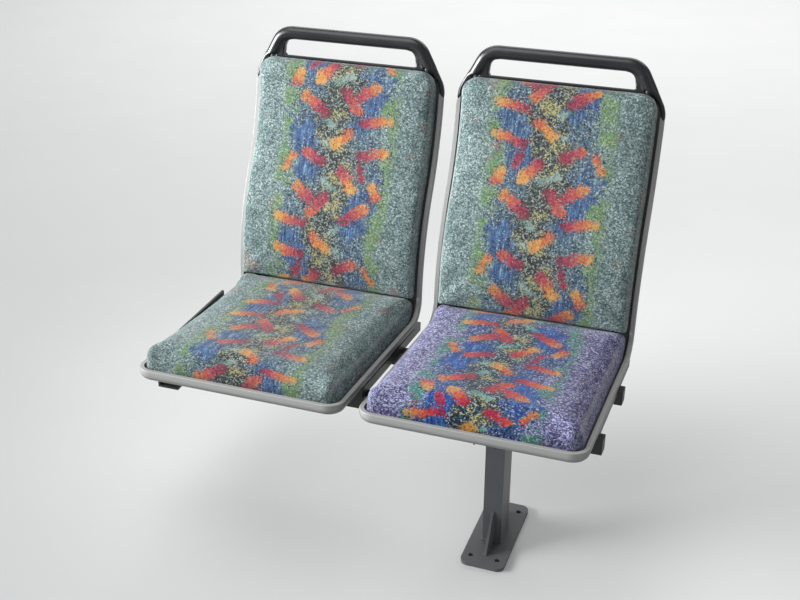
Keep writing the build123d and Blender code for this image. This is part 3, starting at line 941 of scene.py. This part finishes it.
def bead(shapes, path, radius, closed=False):
    """A weld bead along a path, in small overlapping ripples."""
    points = []
    pairs = list(zip(path, path[1:] + path[:1])) if closed else list(zip(path, path[1:]))
    for first, second in pairs:
        first, second = Vector(first), Vector(second)
        steps = max(2, int((second - first).length / (radius * 0.45)))
        points.extend(first.lerp(second, step / steps) for step in range(steps))
    if not closed:
        points.append(Vector(pairs[-1][1]))
    rings = []
    for index, point in enumerate(points):
        after = points[(index + 1) % len(points)] if closed or index < len(points) - 1 else point
        before = points[index - 1] if closed or index > 0 else point
        axes = (after - before).normalized().to_track_quat("Z", "Y").to_matrix()
        swell = radius * (0.93 + 0.12 * sin(index * 2.1) + 0.10 * lattice_noise(point * 400))
        if not closed:
            swell *= 0.55 if index in (0, len(points) - 1) else 1.0
        turns = [pi * turn / 4 for turn in range(8)]
        rings.append([point + axes @ Vector((swell * cos(turn), swell * sin(turn), 0)) for turn in turns])
    shapes.rings(rings, closed=closed)


def frame_point(x, ahead, depth):
    return in_space(squab_point(ahead, depth), x)


under = Vector((0, *squab_under))
outward = Vector((0, *end_behind))

# Screws up through the rails, bolts through the beams and the saddle, and screws behind the handles
rail_screw_places = (0.020, 0.150)
handle_screw_drop = 0.021
rail_screw_radius = 0.0062
handle_screw_radius = 0.0055
bolt_size = 0.0075

screws = Shapes()
for centre in seats.values():
    for sign in (-1, 1):
        for ahead in rail_screw_places:
            place = frame_point(centre + sign * rail_x, ahead, rail_bottom)
            pan_screw(screws, place, under, rail_screw_radius)
screws.piece("shell_screws", zinc, "frame_black")

bolts = Shapes()
for turn, ahead in enumerate((front_beam, rear_beam)):
    hex_bolt(bolts, frame_point(0, ahead, rail_bottom), -under, bolt_size, turn * 0.4)
    hex_bolt(bolts, frame_point(0, ahead, beam_bottom + saddle_wall), under, bolt_size, turn * 0.7 + 0.2)
bolts.piece("saddle_bolts", zinc, "frame_black")

back_screws = Shapes()
for centre in seats.values():
    for sign in (-1, 1):
        place = back_point(1, back_shell_depth) - end_up * handle_screw_drop
        pan_screw(back_screws, in_space(place, centre + sign * upright_x), outward, handle_screw_radius)
back_screws.piece("handle_screws", zinc, "handle_black")

# Welds: rails on the beams, beams on the wall bracket, and the leg with its gussets
fine_weld = 0.0022
wall_weld = 0.0024
foot_weld = 0.003
weld_rise = 0.0005
weld_stop = 0.001
beam_half = beam_size / 2
rail_weld_half = rail_width / 2 - weld_stop

beam_welds = Shapes()
for centre in seats.values():
    for sign in (-1, 1):
        for ahead in (front_beam, rear_beam):
            for edge in (-beam_half, beam_half):
                left = frame_point(centre + sign * rail_x - rail_weld_half, ahead + edge, rail_bottom)
                right = frame_point(centre + sign * rail_x + rail_weld_half, ahead + edge, rail_bottom)
                bead(beam_welds, [left, right], fine_weld)
out = beam_half + weld_rise
square = ((-out, -out), (out, -out), (out, out), (-out, out))
for ahead in (front_beam, rear_beam):
    face = wall_x + bracket_thickness + weld_rise
    corners = [frame_point(face, ahead + a, rail_bottom + beam_half + b) for a, b in square]
    bead(beam_welds, corners, wall_weld, closed=True)
beam_welds.piece("frame_welds", black_coat, "frame_black", angle=80)

leg_welds = Shapes()
x, y = post_half
foot_loop = [(-x, -y), (x, -y), (x, y), (-x, y)]
bead(leg_welds, [Vector((a, b, foot_thickness + weld_stop)) for a, b in foot_loop], foot_weld, closed=True)
top_loop = []
for a, b in foot_loop:
    ahead = (b - squab_heel.x) / squab_forward.x
    top_loop.append(frame_point(a, ahead, beam_bottom + saddle_wall + weld_stop))
bead(leg_welds, top_loop, fine_weld, closed=True)
low = foot_thickness + weld_rise
for sign in (-1, 1):
    for side in (-gusset_thickness / 2, gusset_thickness / 2):
        gusset_line = [
            Vector((side, sign * (y + gusset_length - weld_stop), low)),
            Vector((side, sign * (y + weld_stop), low)),
            Vector((side, sign * (y + weld_rise), foot_thickness + gusset_height - 2 * weld_stop)),
        ]
        bead(leg_welds, gusset_line, fine_weld)
leg_welds.piece("leg_welds", grey_coat, "leg_grey", angle=80)

# Floor, light and camera


def floor_sheet():
    mesh = bpy.data.meshes.new("floor")
    reach = 14.0
    corners = [(-reach, -reach, 0), (reach, -reach, 0), (reach, reach, 0), (-reach, reach, 0)]
    mesh.from_pydata(corners, [], [(0, 1, 2, 3)])
    floor = bpy.data.objects.new("floor", mesh)
    collection.objects.link(floor)
    made, tree, surface = material("pale floor", specular_ior_level=0.25)
    place = model_place(tree)
    tone = grain(tree, place, 3.0, 3.0)
    tree.links.new(mix(tree, tone, rgb(218, 219, 218), rgb(223, 223, 221)), surface.inputs["Base Color"])
    tree.links.new(calc(tree, "MULTIPLY_ADD", tone, 0.1, 0.6), surface.inputs["Roughness"])
    mesh.materials.append(made)


floor_sheet()


def lamp(name, place, aim, size, power, tint, spread=180):
    light = bpy.data.lights.new(name, "AREA")
    light.spread = radians(spread)
    light.shape = "RECTANGLE"
    light.size, light.size_y = size
    light.energy = power
    light.color = tint
    made = bpy.data.objects.new(name, light)
    collection.objects.link(made)
    made.location = place
    made.rotation_euler = (Vector(aim) - Vector(place)).to_track_quat("-Z", "Y").to_euler()


lamp("window side", (-2.1, -0.6, 1.15), (-0.2, 0.12, 0.92), (1.6, 1.0), 27, (0.97, 0.985, 1.0), 64)
lamp("aisle side", (2.6, -0.6, 2.1), (-0.2, 0.1, 0.5), (2.0, 1.2), 4, (1.0, 0.99, 0.97))
lamp("ceiling", (-1.0, -0.4, 3.0), (-0.2, 0.1, 0.4), (2.2, 2.0), 36, (1.0, 1.0, 1.0))
lamp("far floor", (-0.9, 4.8, 3.4), (-0.9, 4.8, 0.0), (7.0, 5.0), 230, (1.0, 1.0, 1.0))

world = bpy.data.worlds.new("studio")
bpy.context.scene.world = world
world.use_nodes = True
world.node_tree.nodes["Background"].inputs[0].default_value = (0.94, 0.96, 1.0, 1.0)
world.node_tree.nodes["Background"].inputs[1].default_value = 0.34

camera = bpy.data.cameras.new("camera")
camera.lens = 54
camera.sensor_width = 36
viewer = bpy.data.objects.new("camera", camera)
collection.objects.link(viewer)
viewer.location = (0.494, -1.977, 1.60)
aim = Vector((-0.235, 0.06, 0.49))
viewer.rotation_euler = (aim - viewer.location).to_track_quat("-Z", "Y").to_euler()
bpy.context.scene.camera = viewer
bpy.context.scene.view_settings.view_transform = "Standard"
